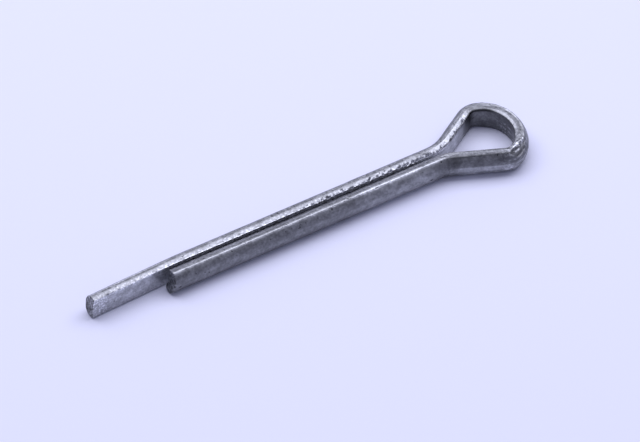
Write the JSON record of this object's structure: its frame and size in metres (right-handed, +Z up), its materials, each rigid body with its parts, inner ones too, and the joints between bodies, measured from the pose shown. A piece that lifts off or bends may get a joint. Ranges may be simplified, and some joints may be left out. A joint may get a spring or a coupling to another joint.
{
  "type": "cotter pin",
  "caption": "Cotter pin of half-round steel wire folded back on itself, with an open eye at the fold and a longer leg whose prong starts the spread once the pin is through its hole.",
  "frame": {"origin": "middle of the pin's outline in plan, on the surface that it lies on", "axes": "+X along the legs towards the eye, +Y from the short leg towards the long leg, +Z up from the surface that the pin lies on its side on"},
  "size_m": [0.0713, 0.0132, 0.0037],
  "materials": {
    "steel_wire": "bare rolled wire, dull grey with bright rubbed edges"
  },
  "bodies": {
    "root": {"cotter_pin": "steel_wire"}
  },
  "joints": []
}
